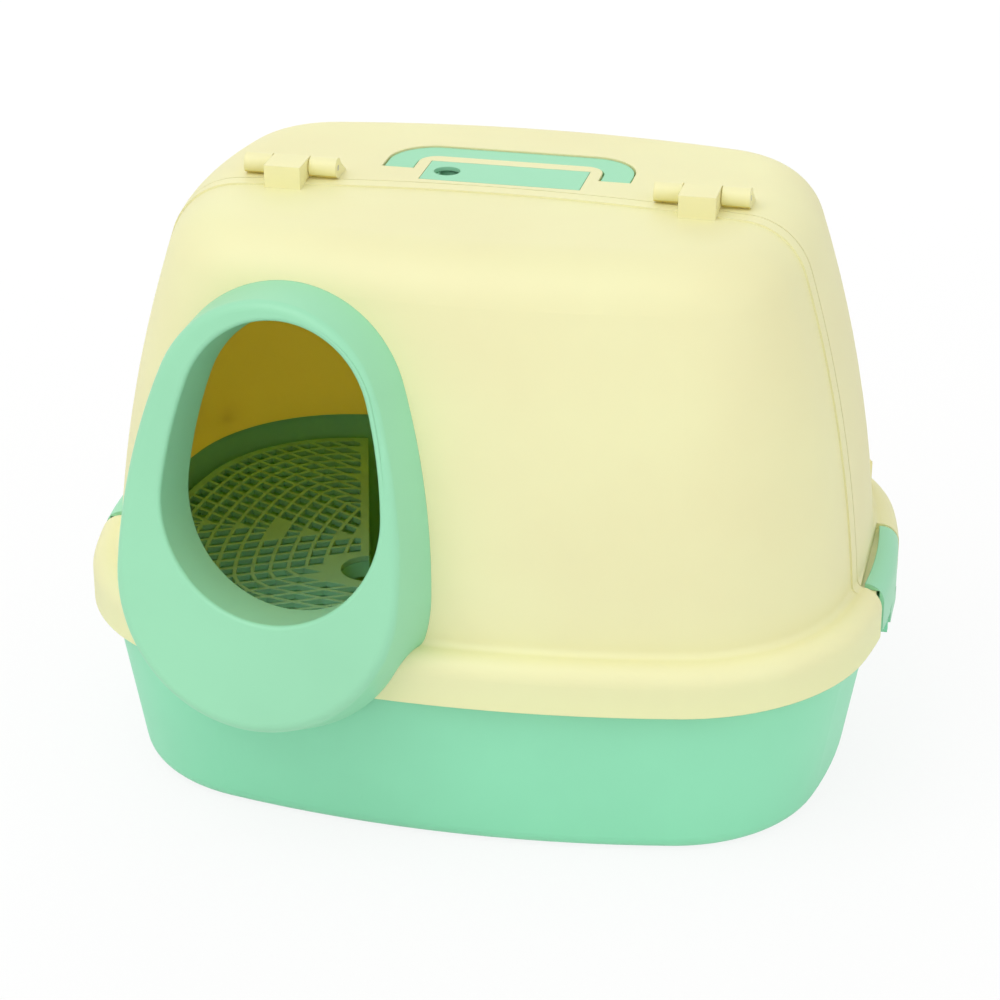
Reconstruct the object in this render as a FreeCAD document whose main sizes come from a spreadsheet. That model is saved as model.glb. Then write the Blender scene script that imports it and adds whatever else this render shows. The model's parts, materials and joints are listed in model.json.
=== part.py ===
"""Hooded litter box: a tapered tray, a rear hood, a front hood that swings up, and a sieve step inside.

Millimetres. The origin is the middle of the tray's underside, +X to the right seen from the front,
+Y to the back and +Z up. The entrance is in the front, left of the middle.
"""
import FreeCAD, Part
import itertools
import math
import os
import re

import Sketcher

Vector = FreeCAD.Vector
Rotation = FreeCAD.Rotation

# Driving dimensions, one group for each piece
SIZES = {
    # Plan outline of the rim: an oval of eight tangent arcs, and every other level is inset from it
    "half_length": 280.0,
    "half_width": 215.0,
    "end_radius": 420.0,
    "side_radius": 800.0,
    "corner_radius": 140.0,
    "core_round": 8.0,
    # Tray
    "tray_foot_inset": 33.0,
    "tray_lip_inset": 9.0,
    "tray_wall_height": 140.0,
    "tray_wall": 3.0,
    "tray_floor": 3.0,
    "tray_foot_round": 14.0,
    "flange_inset": 4.5,
    "flange_height": 4.0,
    "post_inset": 54.0,
    "post_length": 24.0,
    "post_thickness": 4.0,
    "post_spacing": 80.0,
    # Hood, both halves
    "rim_bottom": 120.0,
    "rim_top": 154.0,
    "rim_wall": 3.0,
    "rim_seat_gap": 0.3,
    "rim_shoulder": 13.0,
    "rim_root_round": 5.0,
    "hood_base_inset": 17.0,
    "hood_waist_inset": 33.0,
    "hood_wall_radius": 900.0,
    "hood_top": 404.0,
    "hood_shoulder": 45.0,
    "hood_wall": 3.0,
    # Seam between the halves: an arc in plan, with a flush band on the front half beside it
    "seam_setback": 10.0,
    "seam_radius": 850.0,
    "seam_gap": 1.0,
    "band_width": 11.0,
    "band_step": 1.2,
    # Hinges of the front half
    "hinge_end_distance": 140.0,
    "hinge_setback": 16.0,
    "hinge_clearance": 0.7,
    "hinge_side_gap": 0.6,
    "knuckle_radius": 6.8,
    "knuckle_width": 19.0,
    "knuckle_foot": 19.0,
    "block_width": 25.0,
    "block_reach": 25.0,
    "block_heel": 11.0,
    "hinge_pin_radius": 2.0,
    "pin_clearance": 0.05,
    # Deck under the hood's top, which carries the handle recess and the filter well
    "deck_half_length": 100.0,
    "deck_front": 9.0,
    "deck_back": 80.0,
    "deck_depth": 14.0,
    # Carry handle
    "handle_half_span": 85.0,
    "handle_bar": 20.0,
    "handle_front": 18.0,
    "handle_back": 66.0,
    "handle_thickness": 7.0,
    "handle_drop": 1.0,
    "handle_outer_round": 32.0,
    "handle_inner_round": 14.0,
    "handle_clearance": 1.2,
    "handle_pin_radius": 1.6,
    "handle_pin_hold": 5.0,
    # Filter lid, cassette and pad
    "lid_length": 110.0,
    "lid_front": -4.0,
    "lid_width": 38.0,
    "lid_thickness": 3.0,
    "lid_gap": 0.4,
    "lid_rest": 0.3,
    "finger_hole_radius": 9.0,
    "finger_hole_offset": 40.0,
    "lid_ledge": 3.0,
    "cassette_ledge": 3.5,
    "cassette_flange": 1.6,
    "cassette_depth": 26.0,
    "cassette_wall": 1.6,
    "cassette_slot": 3.0,
    "cassette_slot_pitch": 8.0,
    "cassette_slot_count": 11.0,
    "pad_gap": 0.5,
    "pad_height": 17.0,
    # Latches on the ends
    "latch_length": 96.0,
    "latch_plate": 3.5,
    "latch_flush": 0.6,
    "latch_lip_inset": 14.5,
    "latch_gap": 0.3,
    "latch_notch_side": 2.0,
    "latch_notch_front": 12.0,
    "ledge_inset": 9.0,
    "ledge_depth": 4.5,
    "ledge_back": 19.5,
    "latch_pivot_inset": 6.5,
    "latch_pivot_height": 112.0,
    "latch_barrel_radius": 4.5,
    "latch_tongue": 36.0,
    "latch_pin_radius": 1.6,
    "lug_thickness": 6.0,
    # Upright tabs on the rear rim
    "tab_width": 16.0,
    "tab_thickness": 3.5,
    "tab_height": 17.0,
    "tab_inset": 13.0,
    "tab_root": 8.0,
    "tab_bearing": 29.0,
    # Entrance collar, in its own tilted plane on the hood's front wall
    "collar_end_distance": 171.0,
    "collar_inset": 33.0,
    "collar_z": 244.7,
    "collar_tilt": 12.0,
    "collar_yaw": -7.0,
    "collar_reach": 28.4,
    "collar_root": 40.0,
    "collar_low_radius": 112.0,
    "collar_low": -55.5,
    "collar_high_radius": 92.8,
    "collar_high": 51.8,
    "collar_side_radius": 400.0,
    "collar_lean": 14.6,
    "collar_core_inset": 50.0,
    "collar_outer_round": 7.0,
    "opening_shift": 7.5,
    "opening_low_radius": 76.0,
    "opening_low": -3.8,
    "opening_high_radius": 64.7,
    "opening_high": 54.0,
    "opening_side_radius": 320.0,
    "sleeve_wall": 4.0,
    "sleeve_land": 1.0,
    "sleeve_depth": 60.0,
    "sleeve_lip": 2.0,
    "sleeve_gap": 0.2,
    # Step inside: a sieve grid over a shallow pan, left of a slanting edge
    "step_inset": 30.0,
    "step_edge_x": -96.0,
    "step_edge_turn": 15.0,
    "pan_bottom": 112.0,
    "pan_height": 12.0,
    "pan_wall": 2.5,
    "pan_floor": 2.5,
    "skirt_span": 240.0,
    "skirt_gap": 0.3,
    "grid_thickness": 4.0,
    "grid_gap": 0.3,
    "grid_border": 6.0,
    "grid_pitch": 12.5,
    "grid_rib": 2.8,
    "grid_bearing": 28.0,
    "grid_smallest_gap": 4.0,
    "notch_radius": 20.0,
    "notch_offset": -48.0,
    # How far a cutting tool runs past the face that it cuts
    "overrun": 2.0,
}

doc = FreeCAD.newDocument("litter_box")
sheet = doc.addObject("Spreadsheet::Sheet", "sizes")


def fill_sheet():
    """Write every driving dimension to its own aliased cell."""
    for row, (alias, number) in enumerate(SIZES.items(), start=1):
        sheet.set(f"A{row}", alias.replace("_", " "))
        sheet.set(f"B{row}", str(number))
        sheet.setAlias(f"B{row}", alias)
    doc.recompute()


def formula(text):
    """Return an expression in which each size name points at its cell."""
    return re.sub(r"[a-z_]+", lambda m: f"sizes.{m.group()}" if m.group() in SIZES else m.group(), text)


def value(text):
    """Return the number that an expression of size names has now."""
    return float(sheet.evalExpression(formula(text)))


def bind(item, **formulas):
    """Tie properties of an object to expressions of size names."""
    for name, text in formulas.items():
        item.setExpression(name, formula(text))


def place(item, x="0", y="0", z="0"):
    """Tie an object's position to expressions of size names."""
    for axis, text in (("x", x), ("y", y), ("z", z)):
        item.setExpression(f".Placement.Base.{axis}", formula(text))


# Part primitives and booleans


def box(name, x, y, z):
    """Make a box from three pairs of low and high bounds."""
    made = doc.addObject("Part::Box", name)
    bind(made, Length=f"({x[1]}) - ({x[0]})", Width=f"({y[1]}) - ({y[0]})", Height=f"({z[1]}) - ({z[0]})")
    place(made, x[0], y[0], z[0])
    return made


def rod(name, radius, length, centre, axis):
    """Make a cylinder along X, Y or Z, centred lengthwise on a point."""
    made = doc.addObject("Part::Cylinder", name)
    bind(made, Radius=radius, Height=length)
    half = f"({length}) / 2"
    turns = {"X": Rotation(Vector(0, 1, 0), 90), "Y": Rotation(Vector(1, 0, 0), -90), "Z": Rotation()}
    made.Placement = FreeCAD.Placement(Vector(), turns[axis])
    start = [f"({text}) - {half}" if name_ == axis else text for name_, text in zip("XYZ", centre)]
    place(made, *start)
    return made


def fuse(name, parts):
    """Join solids that overlap into one."""
    made = doc.addObject("Part::MultiFuse", name)
    made.Shapes = parts
    made.Refine = True
    return made


def cut(name, base, tools):
    """Cut tools from a base solid, one after the other."""
    for number, tool in enumerate(tools):
        made = doc.addObject("Part::Cut", name if number == len(tools) - 1 else f"{name}_step")
        made.Base = base
        made.Tool = tool
        made.Refine = True
        base = made
    return base


def common(name, first, second):
    """Keep what two solids share."""
    made = doc.addObject("Part::Common", name)
    made.Base = first
    made.Tool = second
    made.Refine = True
    return made


# Sketches and PartDesign features


def new_body(name):
    """Make an empty PartDesign body."""
    return doc.addObject("PartDesign::Body", name)


def new_sketch(body, name, role="XY_Plane", offset="0"):
    """Make a sketch on one of the body's own origin planes, moved along its normal."""
    made = body.newObject("Sketcher::SketchObject", name)
    plane = next(item for item in body.Origin.OriginFeatures if item.Role == role)
    made.AttachmentSupport = (plane, [""])
    made.MapMode = "FlatFace"
    made.setExpression("AttachmentOffset.Base.z", formula(offset))
    return made


def hold(sketch, kind, *where, text):
    """Add a dimension to a sketch and tie it to an expression."""
    number = sketch.addConstraint(Sketcher.Constraint(kind, *where, value(text)))
    sketch.setExpression(f"Constraints[{number}]", formula(text))


def add_arc(sketch, centre, radius, start, end):
    """Add an arc between two angles in radians."""
    circle = Part.Circle(Vector(*centre, 0), Vector(0, 0, 1), radius)
    return sketch.addGeometry(Part.ArcOfCircle(circle, start, end), False)


def chain(sketch, arcs):
    """Join arcs end to start round a loop, each tangent to the next."""
    for arc, following in zip(arcs, arcs[1:] + arcs[:1]):
        sketch.addConstraint(Sketcher.Constraint("Tangent", arc, 2, following, 1))


def oval_centres():
    """Return the centres of the oval's end, side and corner arcs in the first quadrant."""
    end = (value("half_length - end_radius"), 0.0)
    side = (0.0, value("half_width - side_radius"))
    to_end = value("end_radius - corner_radius")
    to_side = value("side_radius - corner_radius")
    span = math.hypot(end[0] - side[0], end[1] - side[1])
    along = (to_end ** 2 - to_side ** 2 + span ** 2) / (2 * span)
    across = math.sqrt(to_end ** 2 - along ** 2)
    step = ((side[0] - end[0]) / span, (side[1] - end[1]) / span)
    corner = (end[0] + along * step[0] - across * step[1], end[1] + along * step[1] + across * step[0])
    return end, side, corner


def oval_joints():
    """Return the bearings at which the end arc meets the corner arc and the corner arc the side arc."""
    end, side, corner = oval_centres()
    low = math.atan2(corner[1] - end[1], corner[0] - end[0])
    high = math.atan2(corner[1] - side[1], corner[0] - side[0])
    return low, high


def draw_oval(sketch, inset):
    """Draw the plan outline, moved inwards by an inset."""
    end, side, corner = oval_centres()
    low, high = oval_joints()
    turn = math.pi
    names = ("end_radius", "side_radius", "corner_radius")
    end_r, side_r, corner_r = (value(f"{name} - ({inset})") for name in names)
    right = add_arc(sketch, end, end_r, -low, low)
    back_right = add_arc(sketch, corner, corner_r, low, high)
    back = add_arc(sketch, side, side_r, high, turn - high)
    back_left = add_arc(sketch, (-corner[0], corner[1]), corner_r, turn - high, turn - low)
    left = add_arc(sketch, (-end[0], 0.0), end_r, turn - low, turn + low)
    front_left = add_arc(sketch, (-corner[0], -corner[1]), corner_r, turn + low, turn + high)
    front = add_arc(sketch, (0.0, -side[1]), side_r, turn + high, 2 * turn - high)
    front_right = add_arc(sketch, (corner[0], -corner[1]), corner_r, 2 * turn - high, 2 * turn - low)
    chain(sketch, [right, back_right, back, back_left, left, front_left, front, front_right])
    for arc, axis, kind, text in (
        (right, -1, "DistanceX", "half_length - end_radius"),
        (left, -1, "DistanceX", "end_radius - half_length"),
        (back, -2, "DistanceY", "half_width - side_radius"),
        (front, -2, "DistanceY", "side_radius - half_width"),
    ):
        sketch.addConstraint(Sketcher.Constraint("PointOnObject", arc, 3, axis))
        hold(sketch, kind, arc, 3, text=text)
    others = [back_left, front_left, front_right]
    for first, same in [(right, left), (back, front)] + [(back_right, other) for other in others]:
        sketch.addConstraint(Sketcher.Constraint("Equal", first, same))
    for arc, name in ((right, "end_radius"), (back, "side_radius"), (back_right, "corner_radius")):
        hold(sketch, "Radius", arc, text=f"{name} - ({inset})")


def draw_egg(sketch, shift, low, low_radius, high, high_radius, side_radius):
    """Draw an egg of four arcs: a low and a high circle joined by two large tangent arcs."""
    x, y_low, y_high = value(shift), value(low), value(high)
    r_low, r_high, r_side = value(low_radius), value(high_radius), value(side_radius)
    span = y_high - y_low
    to_low, to_high = r_side - r_low, r_side - r_high
    rise = (to_low ** 2 - to_high ** 2 + span ** 2) / (2 * span)
    reach = math.sqrt(to_low ** 2 - rise ** 2)
    below = math.atan2(-rise, reach)
    above = math.atan2(span - rise, reach)
    turn = math.pi
    right = add_arc(sketch, (x - reach, y_low + rise), r_side, below, above)
    top = add_arc(sketch, (x, y_high), r_high, above, turn - above)
    left = add_arc(sketch, (x + reach, y_low + rise), r_side, turn - above, turn - below)
    bottom = add_arc(sketch, (x, y_low), r_low, turn - below, 2 * turn + below)
    chain(sketch, [right, top, left, bottom])
    sketch.addConstraint(Sketcher.Constraint("Equal", right, left))
    for arc, height, radius in ((top, high, high_radius), (bottom, low, low_radius)):
        hold(sketch, "DistanceX", arc, 3, text=shift)
        hold(sketch, "DistanceY", arc, 3, text=height)
        hold(sketch, "Radius", arc, text=radius)
    hold(sketch, "Radius", right, text=side_radius)


def draw_polygon(sketch, corners):
    """Draw a closed polygon whose corners are pairs of expressions."""
    points = [Vector(value(x), value(y), 0) for x, y in corners]
    lines = [
        sketch.addGeometry(Part.LineSegment(start, end), False)
        for start, end in zip(points, points[1:] + points[:1])
    ]
    for line, following in zip(lines, lines[1:] + lines[:1]):
        sketch.addConstraint(Sketcher.Constraint("Coincident", line, 2, following, 1))
    for line, (x, y) in zip(lines, corners):
        hold(sketch, "DistanceX", line, 1, text=x)
        hold(sketch, "DistanceY", line, 1, text=y)


def draw_rectangle(sketch, x, y):
    """Draw a rectangle from its low and high bounds."""
    draw_polygon(sketch, [(x[0], y[0]), (x[1], y[0]), (x[1], y[1]), (x[0], y[1])])


def draw_circle(sketch, x, y, radius):
    """Draw a circle."""
    ring = Part.Circle(Vector(value(x), value(y), 0), Vector(0, 0, 1), value(radius))
    circle = sketch.addGeometry(ring, False)
    hold(sketch, "DistanceX", circle, 3, text=x)
    hold(sketch, "DistanceY", circle, 3, text=y)
    hold(sketch, "Radius", circle, text=radius)


def draw_rounded(sketch, corners):
    """Draw a closed polygon of (x, y, radius) expressions, with an arc at each corner that has a radius."""
    points = [Vector(value(x), value(y), 0) for x, y, _ in corners]
    count = len(points)
    guides = []
    for number, (x, y, _) in enumerate(corners):
        guide = Part.LineSegment(points[number], points[(number + 1) % count])
        guides.append(sketch.addGeometry(guide, True))
        hold(sketch, "DistanceX", guides[-1], 1, text=x)
        hold(sketch, "DistanceY", guides[-1], 1, text=y)
    for guide, following in zip(guides, guides[1:] + guides[:1]):
        sketch.addConstraint(Sketcher.Constraint("Coincident", guide, 2, following, 1))
    starts, ends, arcs = [], [], []
    for number, (_, _, radius) in enumerate(corners):
        here, before, after = points[number], points[number - 1], points[(number + 1) % count]
        if radius is None:
            ends.append(here)
            starts.append(here)
            arcs.append(None)
            continue
        inward, outward = (before - here).normalize(), (after - here).normalize()
        half_angle = inward.getAngle(outward) / 2
        setback = value(radius) / math.tan(half_angle)
        middle = here + (inward + outward).normalize() * (value(radius) / math.sin(half_angle))
        ends.append(here + inward * setback)
        starts.append(here + outward * setback)
        nearest = middle + (here - middle).normalize() * value(radius)
        arcs.append(Part.Arc(ends[-1], nearest, starts[-1]))
    lines = []
    for number in range(count):
        line = Part.LineSegment(starts[number], ends[(number + 1) % count])
        lines.append(sketch.addGeometry(line, False))
    for number, (_, _, radius) in enumerate(corners):
        before, after = lines[number - 1], lines[number]
        if radius is None:
            sketch.addConstraint(Sketcher.Constraint("Coincident", before, 2, guides[number], 1))
            sketch.addConstraint(Sketcher.Constraint("Coincident", after, 1, guides[number], 1))
            continue
        arc = sketch.addGeometry(arcs[number], False)
        ahead = points[(number + 1) % count] - points[number]
        turns_left = (points[number] - points[number - 1]).cross(ahead).z > 0
        first, last = (1, 2) if turns_left else (2, 1)
        sketch.addConstraint(Sketcher.Constraint("PointOnObject", before, 2, guides[number - 1]))
        sketch.addConstraint(Sketcher.Constraint("PointOnObject", after, 1, guides[number]))
        sketch.addConstraint(Sketcher.Constraint("Tangent", before, 2, arc, first))
        sketch.addConstraint(Sketcher.Constraint("Tangent", arc, last, after, 1))
        hold(sketch, "Radius", arc, text=radius)


def extrude(body, kind, sketch, length, symmetric=False, backwards=False):
    """Add a Pad or cut a Pocket from a sketch."""
    made = body.newObject(f"PartDesign::{kind}", f"{sketch.Name}_{kind.lower()}")
    made.Profile = sketch
    bind(made, Length=length)
    made.SideType = "Symmetric" if symmetric else "One side"
    made.Reversed = backwards
    doc.recompute()
    return made


def sweep(body, profile, path):
    """Sweep a profile once round a closed path."""
    made = body.newObject("PartDesign::AdditivePipe", f"{profile.Name}_sweep")
    made.Profile = profile
    made.Spine = (path, [])
    doc.recompute()
    return made


def close_to(number, text):
    """Tell whether a measured number agrees with an expression."""
    return abs(number - value(text)) < 1e-4


def oval_prism(name, inset, low, high):
    """Make a solid of the plan outline between two heights."""
    body = new_body(name)
    sketch = new_sketch(body, f"{name}_outline", offset=low)
    draw_oval(sketch, inset)
    extrude(body, "Pad", sketch, f"({high}) - ({low})")
    return body


def turned_box(name, length, width, z):
    """Make a box left of the step's slanting edge, its middle on the edge."""
    made = doc.addObject("Part::Box", name)
    bind(made, Length=length, Width=width, Height=f"({z[1]}) - ({z[0]})")
    made.Placement = FreeCAD.Placement(Vector(), Rotation(Vector(0, 0, 1), 0))
    bearing = "step_edge_turn"
    place(
        made,
        f"step_edge_x - ({length}) * cos({bearing}) + ({width}) / 2 * sin({bearing})",
        f"-({length}) * sin({bearing}) - ({width}) / 2 * cos({bearing})",
        z[0],
    )
    made.setExpression(".Placement.Rotation.Angle", formula(bearing))
    return made


# Heights and places that several pieces share

CORE_INSET = "(corner_radius - core_round)"
FLANGE_TOP = "(tray_wall_height + flange_height)"
RIM_CEILING = f"({FLANGE_TOP} + rim_seat_gap)"
HINGE_Z = "(hood_top + knuckle_radius + hinge_clearance)"
HINGE_X = "(half_length - hinge_end_distance)"
HINGE_Y = "(-hinge_setback)"
HANDLE_Z = "(hood_top - handle_drop - handle_thickness / 2)"
HANDLE_Y = "(handle_front + handle_thickness / 2)"
LEG_MIDDLE = "(handle_half_span - handle_bar / 2)"
LID_MIDDLE = "(lid_front + lid_width / 2)"
LID_SEAT = "(hood_top - lid_thickness - lid_rest)"
CASSETTE_SEAT = "(hood_top - lid_thickness - 2 * lid_rest - cassette_flange)"
LEDGE_TOP = "(rim_top - ledge_depth)"
PAN_TOP = "(pan_bottom + pan_height)"
GRID_BOTTOM = f"({PAN_TOP} + grid_gap)"
SIDES = (("left", "-1"), ("right", "1"))

# Plain numbers: halvings of a search, the shortest side of a gap against its width, and a unit
HALVINGS = 40
GAP_SIDE_SHARE = 0.05
MM3_PER_CM3 = 1000.0


def tray_inset(height):
    """Return the inset of the tray's outer wall at a height."""
    return f"(tray_foot_inset - (tray_foot_inset - tray_lip_inset) * ({height}) / tray_wall_height)"


def lid_bounds(shrink):
    """Return the X and Y bounds of the lid, shrunk on every side."""
    half = f"(lid_length / 2 - ({shrink}))"
    return (f"-{half}", half), (f"lid_front + ({shrink})", f"lid_front + lid_width - ({shrink})")


# Tray


def make_tray():
    """Make the tapered tray with its lip, step posts and latch lugs."""
    body = new_body("base_tray")
    path = new_sketch(body, "tray_path")
    draw_oval(path, "0")
    section = new_sketch(body, "tray_section", "XZ_Plane")
    inner_foot = f"half_length - {tray_inset('tray_floor')} - tray_wall"
    inner_lip = f"half_length - {tray_inset(FLANGE_TOP)} - tray_wall"
    draw_rounded(section, [
        (f"half_length - {CORE_INSET}", "0", None),
        ("half_length - tray_foot_inset", "0", "tray_foot_round"),
        ("half_length - tray_lip_inset", "tray_wall_height", None),
        ("half_length - flange_inset", "tray_wall_height", None),
        ("half_length - flange_inset", FLANGE_TOP, None),
        (inner_lip, FLANGE_TOP, None),
        (inner_foot, "tray_floor", "tray_foot_round - tray_wall"),
        (f"half_length - {CORE_INSET}", "tray_floor", None),
    ])
    sweep(body, section, path)
    floor = new_sketch(body, "tray_floor_outline")
    draw_oval(floor, f"{CORE_INSET} - overrun")
    extrude(body, "Pad", floor, "tray_floor")
    posts = new_sketch(body, "step_posts", offset="tray_floor / 2")
    for row in ("-1", "0", "1"):
        middle = f"{row} * post_spacing"
        draw_rectangle(
            posts,
            ("post_inset - half_length", "post_inset + post_length - half_length"),
            (f"{middle} - post_thickness / 2", f"{middle} + post_thickness / 2"),
        )
    extrude(body, "Pad", posts, "pan_bottom - skirt_gap - tray_floor / 2")
    lug_low = "latch_pivot_height - latch_barrel_radius"
    lugs = new_sketch(body, "latch_lugs", offset=lug_low)
    root = f"(half_length - {tray_inset(lug_low)} - tray_wall / 2)"
    tip = "(half_length - latch_pivot_inset + latch_barrel_radius)"
    near = "(latch_tongue / 2 + hinge_side_gap)"
    far = f"({near} + lug_thickness)"
    for x in ((root, tip), (f"-{tip}", f"-{root}")):
        for y in ((near, far), (f"-{far}", f"-{near}")):
            draw_rectangle(lugs, x, y)
    extrude(body, "Pad", lugs, "2 * latch_barrel_radius")
    pivots = new_sketch(body, "latch_pivots", "XZ_Plane")
    hole = "latch_pin_radius + pin_clearance"
    for _, sign in SIDES:
        draw_circle(pivots, f"{sign} * (half_length - latch_pivot_inset)", "latch_pivot_height", hole)
    extrude(body, "Pocket", pivots, f"2 * ({far} + overrun)", symmetric=True)
    return body


# Hood


def draw_dome_section(sketch, lowered, rimmed):
    """Draw the hood's section at its right end: rim, bowed wall, shoulder and top, out to the core."""
    def across(inset):
        return value(f"half_length - ({inset})")

    wall_r, shoulder_r = value(f"hood_wall_radius - ({lowered})"), value(f"hood_shoulder - ({lowered})")
    top = value(f"hood_top - ({lowered})")
    base_text = (f"half_length - hood_base_inset - ({lowered})", "rim_bottom")
    waist_text = (f"half_length - hood_waist_inset - ({lowered})", "(rim_bottom + hood_top) / 2")
    base, waist = (Vector(value(x), value(y), 0) for x, y in (base_text, waist_text))
    chord = waist - base
    bow = math.sqrt(wall_r ** 2 - chord.Length ** 2 / 4)
    wall_c = (base + waist) / 2 + Vector(-chord.y, chord.x, 0).normalize() * bow
    drop = top - shoulder_r - wall_c.y
    shoulder_c = Vector(wall_c.x + math.sqrt((wall_r - shoulder_r) ** 2 - drop ** 2), top - shoulder_r, 0)
    meeting = math.atan2(shoulder_c.y - wall_c.y, shoulder_c.x - wall_c.x)
    core, low = across(CORE_INSET), value("rim_bottom")
    foot = math.asin((low - wall_c.y) / wall_r)
    if rimmed:
        root_r, rim_r, rim_top = value("rim_root_round"), value("rim_shoulder"), value("rim_top")
        rise = rim_top + root_r - wall_c.y
        root_c = Vector(wall_c.x + math.sqrt((wall_r + root_r) ** 2 - rise ** 2), rim_top + root_r, 0)
        foot = math.atan2(root_c.y - wall_c.y, root_c.x - wall_c.x)
    wall = add_arc(sketch, (wall_c.x, wall_c.y), wall_r, foot, meeting)
    shoulder = add_arc(sketch, (shoulder_c.x, shoulder_c.y), shoulder_r, meeting, math.pi / 2)
    crown = sketch.addGeometry(Part.LineSegment(Vector(shoulder_c.x, top, 0), Vector(core, top, 0)), False)
    inside = sketch.addGeometry(Part.LineSegment(Vector(core, top, 0), Vector(core, low, 0)), False)
    start = across("0") if rimmed else wall_c.x + wall_r * math.cos(foot)
    under = sketch.addGeometry(Part.LineSegment(Vector(core, low, 0), Vector(start, low, 0)), False)
    sketch.addConstraint(Sketcher.Constraint("Tangent", wall, 2, shoulder, 1))
    sketch.addConstraint(Sketcher.Constraint("Tangent", shoulder, 2, crown, 1))
    sketch.addConstraint(Sketcher.Constraint("Coincident", crown, 2, inside, 1))
    sketch.addConstraint(Sketcher.Constraint("Coincident", inside, 2, under, 1))
    sketch.addConstraint(Sketcher.Constraint("Horizontal", crown))
    sketch.addConstraint(Sketcher.Constraint("Horizontal", under))
    sketch.addConstraint(Sketcher.Constraint("Vertical", inside))
    hold(sketch, "DistanceX", inside, 1, text=f"half_length - {CORE_INSET}")
    hold(sketch, "DistanceY", inside, 1, text=f"hood_top - ({lowered})")
    hold(sketch, "DistanceY", inside, 2, text="rim_bottom")
    hold(sketch, "Radius", wall, text=f"hood_wall_radius - ({lowered})")
    hold(sketch, "Radius", shoulder, text=f"hood_shoulder - ({lowered})")
    for x, y in (base_text, waist_text):
        mark = sketch.addGeometry(Part.Point(Vector(value(x), value(y), 0)), True)
        hold(sketch, "DistanceX", mark, 1, text=x)
        hold(sketch, "DistanceY", mark, 1, text=y)
        sketch.addConstraint(Sketcher.Constraint("PointOnObject", mark, 1, wall))
    if not rimmed:
        sketch.addConstraint(Sketcher.Constraint("Coincident", under, 2, wall, 1))
        return
    face_top = Vector(start, rim_top - rim_r, 0)
    face = sketch.addGeometry(Part.LineSegment(Vector(start, low, 0), face_top), False)
    curl = add_arc(sketch, (start - rim_r, rim_top - rim_r), rim_r, 0, math.pi / 2)
    land_line = Part.LineSegment(Vector(start - rim_r, rim_top, 0), Vector(root_c.x, rim_top, 0))
    land = sketch.addGeometry(land_line, False)
    root = add_arc(sketch, (root_c.x, root_c.y), root_r, math.pi + foot, math.pi * 3 / 2)
    sketch.addConstraint(Sketcher.Constraint("Coincident", under, 2, face, 1))
    sketch.addConstraint(Sketcher.Constraint("Vertical", face))
    sketch.addConstraint(Sketcher.Constraint("Horizontal", land))
    sketch.addConstraint(Sketcher.Constraint("Tangent", face, 2, curl, 1))
    sketch.addConstraint(Sketcher.Constraint("Tangent", curl, 2, land, 1))
    sketch.addConstraint(Sketcher.Constraint("Tangent", land, 2, root, 2))
    sketch.addConstraint(Sketcher.Constraint("Tangent", root, 1, wall, 1))
    hold(sketch, "DistanceX", face, 1, text="half_length")
    hold(sketch, "DistanceY", land, 1, text="rim_top")
    hold(sketch, "Radius", curl, text="rim_shoulder")
    hold(sketch, "Radius", root, text="rim_root_round")


def make_dome(name, lowered, rimmed):
    """Make the hood's outer form as a solid, its surface lowered by an amount, with or without the rim."""
    body = new_body(name)
    path = new_sketch(body, f"{name}_path", offset="rim_bottom")
    draw_oval(path, "0")
    section = new_sketch(body, f"{name}_section", "XZ_Plane")
    draw_dome_section(section, lowered, rimmed)
    sweep(body, section, path)
    core = new_sketch(body, f"{name}_core", offset="rim_bottom")
    draw_oval(core, f"{CORE_INSET} - overrun")
    extrude(body, "Pad", core, f"hood_top - ({lowered}) - rim_bottom")
    return body


def seam_cylinder(name, shift):
    """Make the upright cylinder in front of the seam, its surface moved back by a shift."""
    made = doc.addObject("Part::Cylinder", name)
    bind(made, Radius=f"seam_radius + ({shift})", Height="hood_top + overrun")
    place(made, "0", "-seam_setback - seam_radius", "0")
    return made


def make_knuckles():
    """Make the four hinge knuckles of the rear half, a barrel on a sloping foot each."""
    parts = []
    for side, sign in SIDES:
        for place_name, way in (("inner", "-1"), ("outer", "1")):
            name = f"knuckle_{side}_{place_name}"
            offset = f"{way} * ((block_width + knuckle_width) / 2 + hinge_side_gap)"
            middle = f"({sign} * ({HINGE_X} + {offset}))"
            body = new_body(f"{name}_foot")
            section = new_sketch(body, f"{name}_section", "YZ_Plane", middle)
            draw_polygon(section, [
                (HINGE_Y, "hood_top - hood_wall / 2"),
                (f"{HINGE_Y} + knuckle_foot", "hood_top - hood_wall / 2"),
                (f"{HINGE_Y} + knuckle_foot", "hood_top + hinge_clearance"),
                (HINGE_Y, f"{HINGE_Z} + knuckle_radius"),
            ])
            extrude(body, "Pad", section, "knuckle_width", symmetric=True)
            barrel = rod(f"{name}_barrel", "knuckle_radius", "knuckle_width", (middle, HINGE_Y, HINGE_Z), "X")
            parts += [body, barrel]
    return parts


def make_blocks():
    """Make the two hinge blocks of the front half, reaching back between the knuckles."""
    parts = []
    for side, sign in SIDES:
        x = tuple(f"{sign} * {HINGE_X} {way} block_width / 2" for way in "-+")
        heel = f"{HINGE_Y} - block_heel"
        top = f"{HINGE_Z} + knuckle_radius"
        front = f"{HINGE_Y} - block_reach"
        parts.append(box(f"block_{side}_foot", x, (front, heel), ("hood_top - hood_wall", top)))
        parts.append(box(f"block_{side}_arm", x, (heel, HINGE_Y), (f"{HINGE_Z} - knuckle_radius", top)))
        middle = f"{sign} * {HINGE_X}"
        axis_point = (middle, HINGE_Y, HINGE_Z)
        parts.append(rod(f"block_{side}_barrel", "knuckle_radius", "block_width", axis_point, "X"))
    return parts


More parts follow.
